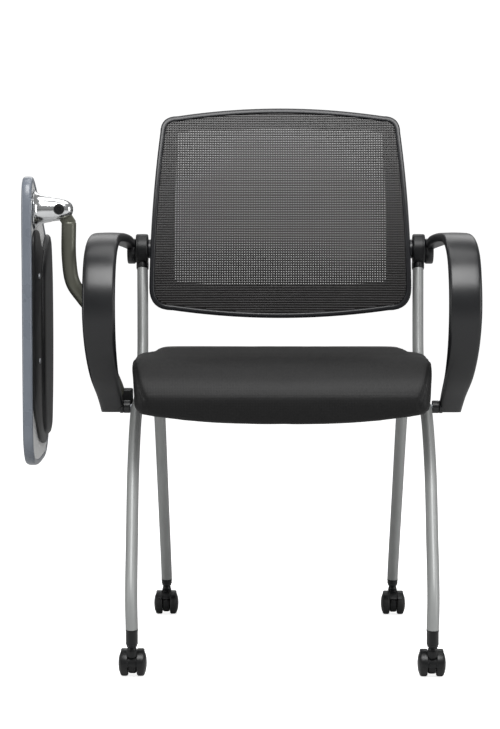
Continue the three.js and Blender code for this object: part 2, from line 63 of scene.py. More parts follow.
def linearFromHex(text):
    channels = [int(text[i:i + 2], 16) / 255 for i in (1, 3, 5)]
    return [c / 12.92 if c <= 0.04045 else ((c + 0.055) / 1.055) ** 2.4 for c in channels] + [1.0]


def put(tree, kind, inputs=None, **settings):
    node = tree.nodes.new(kind)
    for key, value in settings.items():
        setattr(node, key, value)
    for key, value in (inputs or {}).items():
        if isinstance(value, bpy.types.NodeSocket):
            tree.links.new(value, node.inputs[key])
        else:
            node.inputs[key].default_value = value
    return node


def newMaterial(name, **sockets):
    material = bpy.data.materials.new(name)
    material.use_nodes = True
    shader = material.node_tree.nodes["Principled BSDF"]
    for key, value in sockets.items():
        shader.inputs[key.replace("_", " ")].default_value = value
    return material


def perUnit(sizeMm):
    return 1 / (sizeMm * mm)             # noise and voronoi scale for a feature of this size


def bandScale(periodMm):
    return math.pi / 10 / (periodMm * mm)    # a band wave turns 20 radians for each unit of scale


def wire(tree, shade, spread, bump):
    shader = tree.nodes["Principled BSDF"]
    tree.links.new(shade.outputs[2], shader.inputs["Base Color"])
    tree.links.new(spread.outputs["Result"], shader.inputs["Roughness"])
    tree.links.new(bump.outputs["Normal"], shader.inputs["Normal"])


def mottled(material, dark, light, sizeMm, rough, grainMm, grainDepthMm):
    # colour that drifts between two shades, roughness that drifts with it, and a moulded grain
    tree = material.node_tree
    place = put(tree, "ShaderNodeTexCoord")
    drift = put(tree, "ShaderNodeTexNoise", {"Vector": place.outputs["Object"], "Scale": perUnit(sizeMm),
                                             "Detail": 3.0, "Roughness": 0.55})
    shade = put(tree, "ShaderNodeMix", {0: drift.outputs["Fac"], 6: linearFromHex(dark),
                                        7: linearFromHex(light)}, data_type="RGBA")
    spread = put(tree, "ShaderNodeMapRange", {"Value": drift.outputs["Fac"], "To Min": rough[0],
                                              "To Max": rough[1]})
    grain = put(tree, "ShaderNodeTexNoise", {"Vector": place.outputs["Object"], "Scale": perUnit(grainMm),
                                             "Detail": 2.0})
    bump = put(tree, "ShaderNodeBump", {"Height": grain.outputs["Fac"], "Strength": 0.6,
                                        "Distance": grainDepthMm * mm})
    wire(tree, shade, spread, bump)
    return material


def powderCoat():
    # silver powder coat on steel tube: a satin metallic sheen with a faint orange peel
    material = newMaterial("silver powder coat", Metallic=0.45)
    return mottled(material, "#989a99", "#a8aaa9", 60, (0.46, 0.56), 1.6, 0.05)


def postCoat():
    # the post is drawn darker and slightly more olive than the frame
    material = newMaterial("olive grey powder coat", Metallic=0.5, Coat_Weight=0.15, Coat_Roughness=0.3)
    return mottled(material, "#55564c", "#67675d", 50, (0.34, 0.44), 1.6, 0.05)


def mouldedNylon():
    # glass-filled nylon arms: charcoal black, fine spark-eroded skin that spreads the highlight
    material = newMaterial("moulded nylon", IOR=1.53)
    return mottled(material, "#111214", "#191a1c", 45, (0.27, 0.37), 0.9, 0.04)


def texturedAbs():
    # ABS hubs, clamp and ferrules: a flatter black with a coarser moulded texture
    material = newMaterial("textured ABS", IOR=1.52, Specular_IOR_Level=0.35)
    return mottled(material, "#0b0c0d", "#121315", 30, (0.36, 0.48), 0.8, 0.06)


def backPolypropylene():
    # polypropylene back frame: smooth satin black, slightly milky in the highlight
    material = newMaterial("satin polypropylene", IOR=1.49)
    return mottled(material, "#101114", "#191a1e", 70, (0.26, 0.34), 1.2, 0.03)


def casterNylon():
    # caster hoods and wheel centres: injection-moulded nylon with a wet-looking gloss
    material = newMaterial("glossy caster nylon", IOR=1.53, Specular_IOR_Level=0.35)
    return mottled(material, "#0a0b0c", "#131415", 12, (0.28, 0.4), 0.7, 0.03)


def treadUrethane():
    # polyurethane tread: dull dark grey with dust rubbed into it
    material = newMaterial("polyurethane tread", IOR=1.5)
    return mottled(material, "#111212", "#1d1d1d", 9, (0.48, 0.66), 0.6, 0.05)


def matRubber():
    # moulded rubber pads and bushes: dry and nearly matt
    material = newMaterial("moulded rubber", IOR=1.52)
    return mottled(material, "#131313", "#1e1e1e", 14, (0.7, 0.85), 0.7, 0.06)


def zincPlate():
    # zinc-plated steel: bluish grey with a clouded passivation
    material = newMaterial("zinc-plated steel", Metallic=1.0)
    return mottled(material, "#9a9ea3", "#b9bcc0", 6, (0.26, 0.4), 0.8, 0.02)


def polishedAluminium():
    # die-cast aluminium, polished by hand: bright, with soft waves left by the mop
    material = newMaterial("polished cast aluminium", Metallic=1.0)
    return mottled(material, "#d8dadc", "#eceded", 18, (0.1, 0.2), 5.0, 0.12)


def laminateSheet():
    # high-pressure laminate: pale cool grey with a faint mottle under a semi-gloss skin
    material = newMaterial("high-pressure laminate", IOR=1.5, Coat_Weight=0.35, Coat_Roughness=0.12)
    return mottled(material, "#e6e7e7", "#f1f1f0", 7, (0.22, 0.3), 0.8, 0.01)


def edgeVinylPaintedHighlight():
    # moulded vinyl edge band, smooth and slightly waxy; its dark slate grey is drawn lighter all over as a painted
    # highlight
    material = newMaterial("moulded vinyl edge, painted highlight", IOR=1.53, Coat_Weight=0.3, Coat_Roughness=0.18)
    return mottled(material, "#656b74", "#747a83", 40, (0.24, 0.32), 1.0, 0.02)


def meshYarn():
    # monofilament and textured polyester yarn: charcoal, warm where light comes through
    material = newMaterial("knitted polyester mesh", IOR=1.54, Coat_Weight=0.35, Coat_Roughness=0.3)
    return mottled(material, "#0f0d0d", "#1a1717", 25, (0.26, 0.36), 0.7, 0.02)


def seatCloth():
    # tightly woven polyester: near black, plain weave of 1.1 mm yarns drawn at 2.4 mm so that it shows,
    # with a soft sheen where the cloth turns over the front edge
    material = newMaterial("woven polyester", IOR=1.5, Sheen_Weight=0.04, Sheen_Roughness=0.35,
                           Specular_IOR_Level=0.3)
    tree = material.node_tree
    tree.nodes["Principled BSDF"].inputs["Sheen Tint"].default_value = linearFromHex("#9a9894")
    place = put(tree, "ShaderNodeTexCoord")
    loose = {"Detail": 1.0, "Detail Scale": 2.0}

    def yarnBands(direction, detail):
        return put(tree, "ShaderNodeTexWave", {"Vector": place.outputs["Object"], "Scale": bandScale(2.4),
                                               "Distortion": 0.6, **detail}, bands_direction=direction)

    across = yarnBands("X", loose)
    along = yarnBands("Y", loose)
    upright = yarnBands("Z", {})
    turn = put(tree, "ShaderNodeNewGeometry")
    facing = put(tree, "ShaderNodeSeparateXYZ", {"Vector": turn.outputs["Normal"]})
    flat = put(tree, "ShaderNodeMath", {0: facing.outputs["Z"]}, operation="ABSOLUTE")
    weft = put(tree, "ShaderNodeMix", {0: flat.outputs[0], 2: upright.outputs["Fac"],
                                       3: along.outputs["Fac"]})
    weave = put(tree, "ShaderNodeMath", {0: across.outputs["Fac"], 1: weft.outputs[0]}, operation="MULTIPLY")
    fuzz = put(tree, "ShaderNodeTexNoise", {"Vector": place.outputs["Object"], "Scale": perUnit(0.9),
                                            "Detail": 3.0})
    drift = put(tree, "ShaderNodeTexNoise", {"Vector": place.outputs["Object"], "Scale": perUnit(55),
                                             "Detail": 2.0})
    height = put(tree, "ShaderNodeMath", {0: weave.outputs[0], 1: fuzz.outputs["Fac"]}, operation="ADD")
    mixed = put(tree, "ShaderNodeMath", {0: weave.outputs[0], 1: drift.outputs["Fac"]}, operation="MULTIPLY")
    shade = put(tree, "ShaderNodeMix", {0: mixed.outputs[0], 6: linearFromHex("#050505"),
                                        7: linearFromHex("#161618")}, data_type="RGBA")
    bump = put(tree, "ShaderNodeBump", {"Height": height.outputs[0], "Strength": 0.55,
                                        "Distance": 0.25 * mm})
    spread = put(tree, "ShaderNodeMapRange", {"Value": fuzz.outputs["Fac"], "To Min": 0.42, "To Max": 0.6})
    wire(tree, shade, spread, bump)
    return material


paint = powderCoat()
postPaint = postCoat()
nylon = mouldedNylon()
absPlastic = texturedAbs()
backPlastic = backPolypropylene()
casterPlastic = casterNylon()
tread = treadUrethane()
rubber = matRubber()
zinc = zincPlate()
castMetal = polishedAluminium()
laminate = laminateSheet()
# edge band grey drawn lighter than its own: a painted highlight
edgeBandPaintedHighlight = edgeVinylPaintedHighlight()
yarn = meshYarn()
cloth = seatCloth()
print("materials ready")


def meshPiece(name, verts, faces, material, sharp=32):
    data = bpy.data.meshes.new(name)
    data.from_pydata(verts, [], faces)
    work = bmesh.new()
    work.from_mesh(data)
    bmesh.ops.remove_doubles(work, verts=work.verts, dist=0.00001)
    bmesh.ops.recalc_face_normals(work, faces=work.faces)
    creaseByAngle(work, sharp)
    work.to_mesh(data)
    work.free()
    data.materials.append(material)
    piece = bpy.data.objects.new(name, data)
    bpy.context.scene.collection.objects.link(piece)
    return piece


def creaseByAngle(work, sharp):
    for face in work.faces:
        face.smooth = True
    for edge in work.edges:
        edge.smooth = len(edge.link_faces) == 2 and edge.calc_face_angle(0) < math.radians(sharp)


def recrease(piece, sharp):
    work = bmesh.new()
    work.from_mesh(piece.data)
    creaseByAngle(work, sharp)
    work.to_mesh(piece.data)
    work.free()


def loftFaces(ringCount, size, loop, closeEnds):
    faces = []
    last = ringCount if loop else ringCount - 1
    for i in range(last):
        a, b = i * size, ((i + 1) % ringCount) * size
        faces += [(a + j, a + (j + 1) % size, b + (j + 1) % size, b + j) for j in range(size)]
    if closeEnds and not loop:
        faces.append(tuple(range(size))[::-1])
        faces.append(tuple((ringCount - 1) * size + j for j in range(size)))
    return faces


def loft(name, rings, material, loop=False, closeEnds=True, sharp=32):
    verts = [point for ring in rings for point in ring]
    return meshPiece(name, verts, loftFaces(len(rings), len(rings[0]), loop, closeEnds), material, sharp)


def joined(name, pieces):
    # several closed shells of one moulded piece as one object
    base = pieces[0]
    work = bmesh.new()
    slots = []
    for piece in pieces:
        material = piece.data.materials[0]
        if material not in slots:
            slots.append(material)
        start = len(work.faces)
        work.from_mesh(piece.data)
        work.faces.ensure_lookup_table()
        for face in work.faces[start:]:
            face.material_index = slots.index(material)
    work.to_mesh(base.data)
    work.free()
    base.data.materials.clear()
    for material in slots:
        base.data.materials.append(material)
    for piece in pieces[1:]:
        bpy.data.objects.remove(piece)
    base.name = name
    base.data.name = name
    return base


def oval(width, depth, count=28):
    turn = [2 * math.pi * i / count for i in range(count)]
    return [(math.cos(a) * width / 2, math.sin(a) * depth / 2) for a in turn]


def roundedRect(halfWidth, halfHeight, radius, corner=4, along=0):
    # along adds points between the corners on the two wide sides, for sections that bow
    points = []
    for sx, sy, start in ((1, 1, 0), (-1, 1, 90), (-1, -1, 180), (1, -1, 270)):
        for i in range(corner + 1):
            a = math.radians(start + 90 * i / corner)
            points.append((sx * (halfWidth - radius) + radius * math.cos(a),
                           sy * (halfHeight - radius) + radius * math.sin(a)))
        if along and sx * sy > 0:
            reach = halfWidth - radius
            points += [(sx * reach * (1 - 2 * (i + 1) / (along + 1)), sy * halfHeight) for i in range(along)]
    return points


def densePath(points, closed=False):
    # centripetal Catmull-Rom through the points, 16 steps from each point to the next
    points = [Vector(p) for p in points]
    if closed:
        points = points[-1:] + points + points[:2]
    else:
        points = [2 * points[0] - points[1]] + points + [2 * points[-1] - points[-2]]
    dense = []
    for i in range(len(points) - 3):
        p = points[i:i + 4]
        t = [0.0]
        for k in range(3):
            t.append(t[-1] + max((p[k + 1] - p[k]).length, 1e-6) ** 0.5)
        for k in range(16):
            u = t[1] + (t[2] - t[1]) * k / 16
            a = [p[j] * ((t[j + 1] - u) / (t[j + 1] - t[j])) + p[j + 1] * ((u - t[j]) / (t[j + 1] - t[j]))
                 for j in range(3)]
            b = [a[j] * ((t[j + 2] - u) / (t[j + 2] - t[j])) + a[j + 1] * ((u - t[j]) / (t[j + 2] - t[j]))
                 for j in range(2)]
            dense.append(b[0] * ((t[2] - u) / (t[2] - t[1])) + b[1] * ((u - t[1]) / (t[2] - t[1])))
    if not closed:
        dense.append(points[-2])
    return dense


def smoothPath(points, count):
    # a smooth open path in even steps
    dense = densePath(points)
    run = [0.0]
    for a, b in zip(dense, dense[1:]):
        run.append(run[-1] + (b - a).length)
    path, k = [], 0
    for i in range(count):
        want = run[-1] * i / (count - 1)
        while k < len(dense) - 2 and run[k + 1] < want:
            k += 1
        path.append(dense[k].lerp(dense[k + 1], (want - run[k]) / max(run[k + 1] - run[k], 1e-9)))
    return path


def closedLoop(corners, count):
    # a smooth closed path of (a, b) corners in even steps
    lap = densePath([(a, b, 0) for a, b in corners], closed=True)
    run = [0.0]
    for i, point in enumerate(lap):
        run.append(run[-1] + (lap[(i + 1) % len(lap)] - point).length)
    loop, k = [], 0
    for i in range(count):
        want = run[-1] * i / count
        while run[k + 1] < want:
            k += 1
        loop.append(lap[k].lerp(lap[(k + 1) % len(lap)], (want - run[k]) / (run[k + 1] - run[k])))
    return loop


def stations(path):
    # centre, side and up at each step; side starts along X and never twists
    side = Vector((1, 0, 0))
    result = []
    for i, centre in enumerate(path):
        along = (path[min(i + 1, len(path) - 1)] - path[max(i - 1, 0)]).normalized()
        side = (side - along * side.dot(along)).normalized()
        result.append((centre, side, side.cross(along), along))
    return result


def ringAt(section, centre, side, up):
    return [centre + side * a + up * b for a, b in section]


def sweep(path, sectionAt, soften=0.0):
    # rings in millimetres; a softened end turns in a little instead of stopping at a hard edge
    steps = stations(path)
    rings = [ringAt(sectionAt(i / (len(steps) - 1)), c, s, u) for i, (c, s, u, _) in enumerate(steps)]
    if soften:
        for end, inward in ((0, 1), (-1, -1)):
            centre, side, up, along = steps[end]
            section = sectionAt(0 if end == 0 else 1)
            size = max(max(abs(a), abs(b)) for a, b in section)
            cap = ringAt([(a * (1 - soften / size), b * (1 - soften / size)) for a, b in section],
                         centre, side, up)
            rings[end] = [p + along * inward * soften for p in rings[end]]
            rings.insert(0 if end == 0 else len(rings), cap)
    return rings


def placed(rings, sign=1, shift=None):
    # millimetre rings to frame metres, mirrored to the other side when sign is -1
    return [[at(sign * (p.x + (shift(p) if shift else 0)), p.y, p.z) for p in ring] for ring in rings]


def turned(name, profile, placeAt, material, segments, sharp):
    turn = [2 * math.pi * i / segments for i in range(segments)]
    rings = [[placeAt(along, radius * math.cos(a), radius * math.sin(a)) for a in turn]
             for along, radius in profile]
    return loft(name, rings, material, sharp=sharp)


def turnedX(name, profile, centre, material, sign=1, segments=48, sharp=32):
    # profile of (x, radius), turned about an axis parallel to X through centre = (x, y, z)
    x, y, z = centre
    return turned(name, profile, lambda along, a, b: at(sign * (x + along), y + a, z + b), material,
                  segments, sharp)


def turnedZ(name, profile, centre, material, segments=40, sharp=32):
    # profile of (z, radius), turned about a vertical axis through centre = (x, y)
    x, y = centre
    return turned(name, profile, lambda z, a, b: at(x + a, y + b, z), material, segments, sharp)


def turnedY(name, profile, centre, material, segments=40, sharp=32):
    # profile of (y, radius), turned about an axis parallel to Y through centre = (x, z)
    x, z = centre
    return turned(name, profile, lambda y, a, b: at(x + a, y, z + b), material, segments, sharp)


def barProfile(start, end, radius, soft=0.8):
    # a plain round bar with its two edges broken
    return [(start, radius - soft), (start + soft, radius), (end - soft, radius), (end, radius - soft)]


def fit(piece, body, slot, *nodes):
    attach(piece, body)
    if nodes:
        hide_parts(*nodes)
    return piece


def applyModifiers(piece):
    graph = bpy.context.evaluated_depsgraph_get()
    data = bpy.data.meshes.new_from_object(piece.evaluated_get(graph))
    old = piece.data
    piece.modifiers.clear()
    piece.data = data
    bpy.data.meshes.remove(old)


def carve(piece, *cutters, sharp=32):
    # cuts each cutter away, then removes it
    for cutter in cutters:
        tool = piece.modifiers.new("carve", "BOOLEAN")
        tool.operation = "DIFFERENCE"
        tool.solver = "EXACT"
        tool.object = cutter
    applyModifiers(piece)
    for cutter in cutters:
        bpy.data.objects.remove(cutter)
    recrease(piece, sharp)


def bevel(piece, radius, segments):
    soften = piece.modifiers.new("soften", "BEVEL")
    soften.width = radius * mm
    soften.segments = segments
    applyModifiers(piece)


def blockPiece(name, low, high, material, radius=0.0):
    # box with its edges rounded by a bevel
    corners = [at(x, y, z) for x in (low[0], high[0]) for y in (low[1], high[1]) for z in (low[2], high[2])]
    faces = [(0, 1, 3, 2), (4, 6, 7, 5), (0, 4, 5, 1), (2, 3, 7, 6), (0, 2, 6, 4), (1, 5, 7, 3)]
    piece = meshPiece(name, corners, faces, material)
    if radius:
        bevel(piece, radius, 3)
        recrease(piece, 50)
    return piece


def cutBelow(piece, z):
    # trims everything under a height and closes the cut
    work = bmesh.new()
    work.from_mesh(piece.data)
    everything = work.verts[:] + work.edges[:] + work.faces[:]
    cut = bmesh.ops.bisect_plane(work, geom=everything, plane_co=at(0, 0, z), plane_no=(0, 0, 1),
                                 clear_inner=True)
    rim = [e for e in cut["geom_cut"] if isinstance(e, bmesh.types.BMEdge)]
    bmesh.ops.edgeloop_fill(work, edges=rim)
    bmesh.ops.recalc_face_normals(work, faces=work.faces)
    creaseByAngle(work, 32)
    work.to_mesh(piece.data)
    work.free()


def curveThrough(pairs):
    # smooth value through (position, value) pairs
    path = smoothPath([(a, b, 0) for a, b in pairs], len(pairs) * 12)

    def value(where):
        for a, b in zip(path, path[1:]):
            if where <= b.x:
                return a.y + (b.y - a.y) * min(max((where - a.x) / max(b.x - a.x, 1e-9), 0), 1)
        return path[-1].y
    return value


# first, because everything is judged through it
cameraSpec = dict(lens=92.2, x=-26.2, y=-3085, z=656.4, pitch=3.55, yaw=0.467)


def makeCamera():
    data = bpy.data.cameras.new("camera")
    data.sensor_fit = "VERTICAL"
    data.sensor_height = 36
    data.lens = cameraSpec["lens"]
    camera = bpy.data.objects.new("camera", data)
    bpy.context.scene.collection.objects.link(camera)
    camera.location = at(cameraSpec["x"], cameraSpec["y"], cameraSpec["z"])
    camera.rotation_euler = (math.radians(90 - cameraSpec["pitch"]), 0, math.radians(cameraSpec["yaw"]))
    bpy.context.scene.camera = camera


makeCamera()


tubeSpec = dict(width=19, depth=32, footX=230, lean=0.02, footZ=76, rearX=204, frontEnd=76.2, rearEnd=61.2)
sideTubePath = [(0, -261, 60), (0, -260, 120), (0, -213, 209), (0, -152, 308), (0, -56, 388), (0, 20, 402),
                (0, 90, 428), (0, 138, 475), (0, 160, 530), (0, 177, 588), (0, 186.5, 620)]
rearLegPath = [(0, 30, 402), (0, 57, 371), (0, 148, 235.5), (0, 240, 98), (0, 256, 72), (0, 264, 50)]


def sideTubeX(point):
    return tubeSpec["footX"] + tubeSpec["lean"] * (point.z - tubeSpec["footZ"])


def makeFrameTubes():
    section = oval(tubeSpec["width"], tubeSpec["depth"])
    for name, sign in sides:
        rings = placed(sweep(smoothPath(sideTubePath, 90), lambda t: section), sign, sideTubeX)
        tube = loft(f"sideTube_{name}", rings, paint, sharp=50)
        cutBelow(tube, tubeSpec["frontEnd"])
        fit(tube, "frame", "silver_paint", f"side_tube_{name}")
        path = smoothPath(rearLegPath, 40)
        rings = placed(sweep(path, lambda t: section), sign, lambda p: tubeSpec["rearX"])
        leg = loft(f"rearLeg_{name}", rings, paint, sharp=50)
        cutBelow(leg, tubeSpec["rearEnd"])
        fit(leg, "frame", "silver_paint", f"rear_leg_{name}")
    for node in ("front_cross_tube", "pivot_cross_tube"):
        low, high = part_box(node)
        centre = own((low + high) / 2)
        half = (high.x - low.x) / 2 / mm
        radius = (high.z - low.z) / 2 / mm
        bar = turnedX(node + "Smooth", barProfile(-half, half, radius, 0.4), (0, centre.y, centre.z), paint)
        fit(bar, "frame", "silver_paint", node)


def makeFerrules():
    # moulded sleeve with a rolled lip at the top and a stepped foot
    spec = dict(lip=0.7, step=1.4)
    for row in casterRows:
        for name, sign in sides:
            low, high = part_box(f"ferrule_{row}_{name}")
            centre = (low + high) / 2
            height = (high.z - low.z) / mm
            size = ((high.x - low.x) / mm, (high.y - low.y) / mm)
            profile = [(0, spec["step"] + 1.2), (0.8, spec["step"]), (3.4, spec["step"]), (3.9, 0.4),
                       (height - 3.2, 0.4), (height - 2.4, 0), (height - 0.6, 0), (height, spec["lip"])]
            rings = [[centre + Vector((a * mm, b * mm, low.z - centre.z + z * mm))
                      for a, b in oval(size[0] - 2 * inset, size[1] - 2 * inset)] for z, inset in profile]
            sleeve = loft(f"ferrule_{row}_{name}Smooth", rings, absPlastic)
            fit(sleeve, "frame", "frame_plastic", f"ferrule_{row}_{name}")


makeFrameTubes()
makeFerrules()
print("frame tubes and ferrules")


casterSpec = dict(radius=20, hood=17.5, hoodStart=-8, hoodTurn=158, hoodSteps=30, hoodTop=42.2,
                  treadFrom=18.6)
wheelProfile = [(6.8, 4), (6.8, 17.6), (7.3, 18.9), (8.4, 19.7), (9.6, 20), (14.8, 20), (16.2, 19.7),
                (17.4, 19.0), (18.2, 18.1), (18.6, 17.2), (18.4, 16.6), (18.9, 16.0), (20.0, 13.6),
                (20.8, 10.8), (21.3, 7.4), (21.55, 5.4), (21.2, 4.9), (21.2, 4.2), (21.7, 3.6), (21.7, 1.2)]
casterPlate = [(-6, 13.6), (-5.2, 15.4), (-3, 16), (3, 16), (5.2, 15.4), (6, 13.6)]
casterNeck = [(34, 8.2), (42.6, 8.2), (43.4, 7.4), (46.6, 7.0), (47.8, 6.4), (48.5, 5.6)]
casterStem = [(48, 4.9), (50, 4.9), (59.4, 4.9), (60, 4.2)]


def hoodRings(x, y, facing):
    # arched fender over both wheels: wide at the crown, its lower edges turned in
    spec = casterSpec
    steps = spec["hoodSteps"]
    rings = []
    for i in range(steps + 1):
        turn = math.radians(spec["hoodStart"] + spec["hoodTurn"] * i / steps)
        outward = Vector((0, -facing * math.cos(turn), math.sin(turn)))
        taper = 1 - 0.16 * max(0, 1 - i / 6) ** 2 - 0.1 * max(0, (i - steps + 5) / 5) ** 2
        half = spec["hood"] * taper
        edge = [(half, 0.9), (half + 0.2, 1.7), (half - 1.6, 2.3), (7.6, 2.3), (5.6, 0.2)]
        under = [(-6.6, 0.9), (-5.0, -1.2), (5.0, -1.2), (6.6, 0.9)]    # sunk channel down the middle
        section = edge + [(-a, b) for a, b in reversed(edge)] + under
        radius = spec["radius"]
        ring = [at(x + a, y + outward.y * (radius + b), radius + outward.z * (radius + b)) for a, b in section]
        rings.append([Vector((p.x, p.y, min(p.z, spec["hoodTop"] * mm))) for p in ring])
    return rings


def makeCaster(row, name):
    bodyNode = f"caster_body_{row}_{name}"
    body = f"caster_{row}_{name}"
    wheelLow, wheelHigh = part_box(f"wheel_{row}_{name}_left")
    axleY = own((wheelLow + wheelHigh) / 2).y
    low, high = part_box(bodyNode)
    x = own((low + high) / 2).x
    low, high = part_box(f"ferrule_{row}_{name}")
    stemY = own((low + high) / 2).y
    facing = 1 if axleY > stemY else -1
    radius = casterSpec["radius"]
    hood = loft("hood", hoodRings(x, axleY, facing), casterPlastic)
    plate = turnedX("plate", casterPlate, (x, axleY, radius), casterPlastic)
    rib = blockPiece("rib", (x - 5.4, min(stemY, axleY) - 1, 24), (x + 5.4, max(stemY, axleY) + 1, 41.2),
                     casterPlastic, 1.2)
    neck = turnedZ("neck", casterNeck, (x, stemY), casterPlastic)
    shell = joined(f"{body}_hood", [hood, plate, rib, neck])
    fit(shell, body, "caster_plastic")
    pin = turnedZ(f"{body}_stem", casterStem, (x, stemY), zinc)
    fit(pin, body, "zinc_steel")
    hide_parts(bodyNode)
    for wheelName, wheelSign in sides:
        node = f"wheel_{row}_{name}_{wheelName}"
        wheel = turnedX(f"{node}_tyre", wheelProfile, (wheelSign * x, axleY, radius), casterPlastic,
                        wheelSign, 56, 26)
        wheel.data.materials.append(tread)
        for face in wheel.data.polygons:
            offset = face.center - at(x, axleY, radius)
            if math.hypot(offset.y, offset.z) > casterSpec["treadFrom"] * mm:
                face.material_index = 1
        fit(wheel, node, "wheel_plastic", node)


for row in casterRows:
    for name, _ in sides:
        makeCaster(row, name)
print("casters")


hubSpec = dict(y=186, z=656, socketX=241, socketWidth=21, socketDepth=34)
hubKnuckle = [(231, 22), (231.2, 24.6), (232.6, 25.8), (234, 26), (246.6, 26), (247, 25.4), (247.6, 25.4),
              (248, 26), (250.2, 25.8), (251.8, 24.4), (252, 22)]
socketSteps = [(0, 0), (3, 0.6), (9, 0.7), (15, -0.4), (24, -2.4)]    # distance up the tube, extra width


def socketSection(t):
    wider = socketSteps[round(t * 4)][1]
    return oval(hubSpec["socketWidth"] + wider, hubSpec["socketDepth"] + wider)


def makeHubs():
    # knuckle round the hinge line, with a socket that the upright's end stands in
    foot = Vector((0, 186.7, 620.4))
    along = Vector((0, 0.2747, 0.9615))
    path = [foot + along * d for d, _ in socketSteps]
    for name, sign in sides:
        knuckle = turnedX("knuckle", hubKnuckle, (0, hubSpec["y"], hubSpec["z"]), absPlastic, sign)
        rings = placed(sweep(path, socketSection, 0.9), sign, lambda p: hubSpec["socketX"])
        socket = loft("socket", rings, absPlastic)
        fit(joined(f"hubShell_{name}", [knuckle, socket]), "frame", "frame_plastic", f"hub_{name}")


makeHubs()


armStations = [(260.8, 186, 662, 15), (270, 110, 671, 36), (282, 20, 675, 48), (286.5, -60, 670, 51),
               (288, -118, 645, 52), (288, -150, 600, 52), (288, -155, 550, 52), (287, -138, 500, 50),
               (284, -105, 455, 46), (279, -60, 418, 40), (276, -18, 383, 36)]
armSpec = dict(thickness=14, corner=5.6, crown=1.2, cut=389, boltY=-36, boltZ=398, hubZ=652, steps=120)
armEnd = [(252.6, 19), (253.2, 21.2), (254.6, 22), (264.4, 22), (266, 21.2), (266.6, 19.4), (266.2, 15),
          (265.6, 14.6)]


def uniformCatmull(points, t):
    # same even knots as the moulded solid, so both follow one line
    span = len(points) - 1
    place = min(max(t, 0) * span, span - 1e-9)
    i = int(place)
    u = place - i
    first = points[i - 1] if i > 0 else 2 * points[0] - points[1]
    last = points[i + 2] if i + 2 <= span else 2 * points[span] - points[span - 1]
    a, b = points[i], points[i + 1]
    return (2 * a + (b - first) * u + (2 * first - 5 * a + 4 * b - last) * u ** 2
            + (3 * a - first - 3 * b + last) * u ** 3) / 2


def armRings():
    # a ribbon that keeps its width across X and turns its flat face with the path, slightly crowned
    centres = [Vector(s[:3]) for s in armStations]
    widths = [Vector((s[3], 0, 0)) for s in armStations]
    near = 0.004
    rings = []
    for i in range(armSpec["steps"] + 1):
        t = i / armSpec["steps"]
        centre = uniformCatmull(centres, t)
        ahead = uniformCatmull(centres, min(t + near, 1)) - uniformCatmull(centres, max(t - near, 0))
        ahead.x = 0
        ahead.normalize()
        half = uniformCatmull(widths, t).x / 2
        section = roundedRect(half, armSpec["thickness"] / 2, min(armSpec["corner"], half - 1), 5, 6)
        crowned = [(a, b - armSpec["crown"] * (1 - (a / half) ** 2) * (1 if b < 0 else -0.6))
                   for a, b in section]
        rings.append([centre + Vector((a, -ahead.z * b, ahead.y * b)) for a, b in crowned])
    return rings


def makeArms():
    rings = armRings()
    bolt = (0, armSpec["boltY"], armSpec["boltZ"])
    for name, sign in sides:
        ribbon = loft("ribbon", placed(rings, sign), nylon, sharp=40)
        cutBelow(ribbon, armSpec["cut"])
        end = turnedX("end", armEnd, (0, hubSpec["y"], armSpec["hubZ"]), nylon, sign)
        boss = turnedX("boss", barProfile(258.3, 264, 10.5), bolt, nylon, sign)
        fit(joined(f"armLoop_{name}", [ribbon, end, boss]), "frame", "arm_plastic", f"arm_{name}")
        spacer = turnedX(f"armSpacer_{name}", barProfile(247, 258, 10.4), bolt, nylon, sign)
        fit(spacer, "frame", "arm_plastic", f"arm_spacer_{name}")


makeArms()
print("hubs and arms")


backSpec = dict(bottom=549, top=890, crown=15, drop=14, halfBottom=228, halfTop=211, rBottom=40, rTop=30,
                bow=7, hollow=25, rim=9, footY=158, footZ=535, height=370, slope=8.4, curl=58.6)
windowSpec = dict(bottom=597, top=864, crown=5, drop=5, halfBottom=187, halfTop=182, rBottom=14, rTop=13,
                  bow=0)
panelSteps = (26, 8, 20, 8)
hingeBoss = [(220, 12), (222.5, 16.5), (229.4, 16.5), (230.4, 15.5), (230.4, 6)]


def backFront(x, z):
    # front face of the back: leaning and curling rearwards with height, hollow across
    spec = backSpec
    t = (z - spec["footZ"]) / spec["height"]
    return (spec["footY"] + spec["slope"] * t + spec["curl"] * t * t
            + spec["hollow"] * (1 - (x / spec["halfBottom"]) ** 2))


def panelOutline(halfBottom, halfTop, bottom, top, crown, drop, rBottom, rTop, bow):
    def quad(a, control, b, t):
        return (a[0] * (1 - t) ** 2 + 2 * control[0] * t * (1 - t) + b[0] * t * t,
                a[1] * (1 - t) ** 2 + 2 * control[1] * t * (1 - t) + b[1] * t * t)
    side = ((halfBottom + halfTop) / 2 + bow, (bottom + rBottom + top - rTop) / 2)
    curves = [((-halfBottom + rBottom, bottom), (0, bottom - 2 * drop), (halfBottom - rBottom, bottom)),
              ((halfBottom - rBottom, bottom), (halfBottom, bottom), (halfBottom, bottom + rBottom)),
              ((halfBottom, bottom + rBottom), side, (halfTop, top - rTop)),
              ((halfTop, top - rTop), (halfTop, top), (halfTop - rTop, top)),
              ((halfTop - rTop, top), (0, top + 2 * crown), (-halfTop + rTop, top)),
              ((-halfTop + rTop, top), (-halfTop, top), (-halfTop, top - rTop)),
              ((-halfTop, top - rTop), (-side[0], side[1]), (-halfBottom, bottom + rBottom)),
              ((-halfBottom, bottom + rBottom), (-halfBottom, bottom), (-halfBottom + rBottom, bottom))]
    return [quad(*curve, k / panelSteps[i % 4]) for i, curve in enumerate(curves)
            for k in range(panelSteps[i % 4])]


def grown(spec, grow):
    return panelOutline(spec["halfBottom"] + grow, spec["halfTop"] + grow, spec["bottom"] - grow,
                        spec["top"] + grow, spec["crown"], spec["drop"], spec["rBottom"] + grow,
                        spec["rTop"] + grow, spec["bow"])


def backOutline(inset):
    return grown(backSpec, -inset)


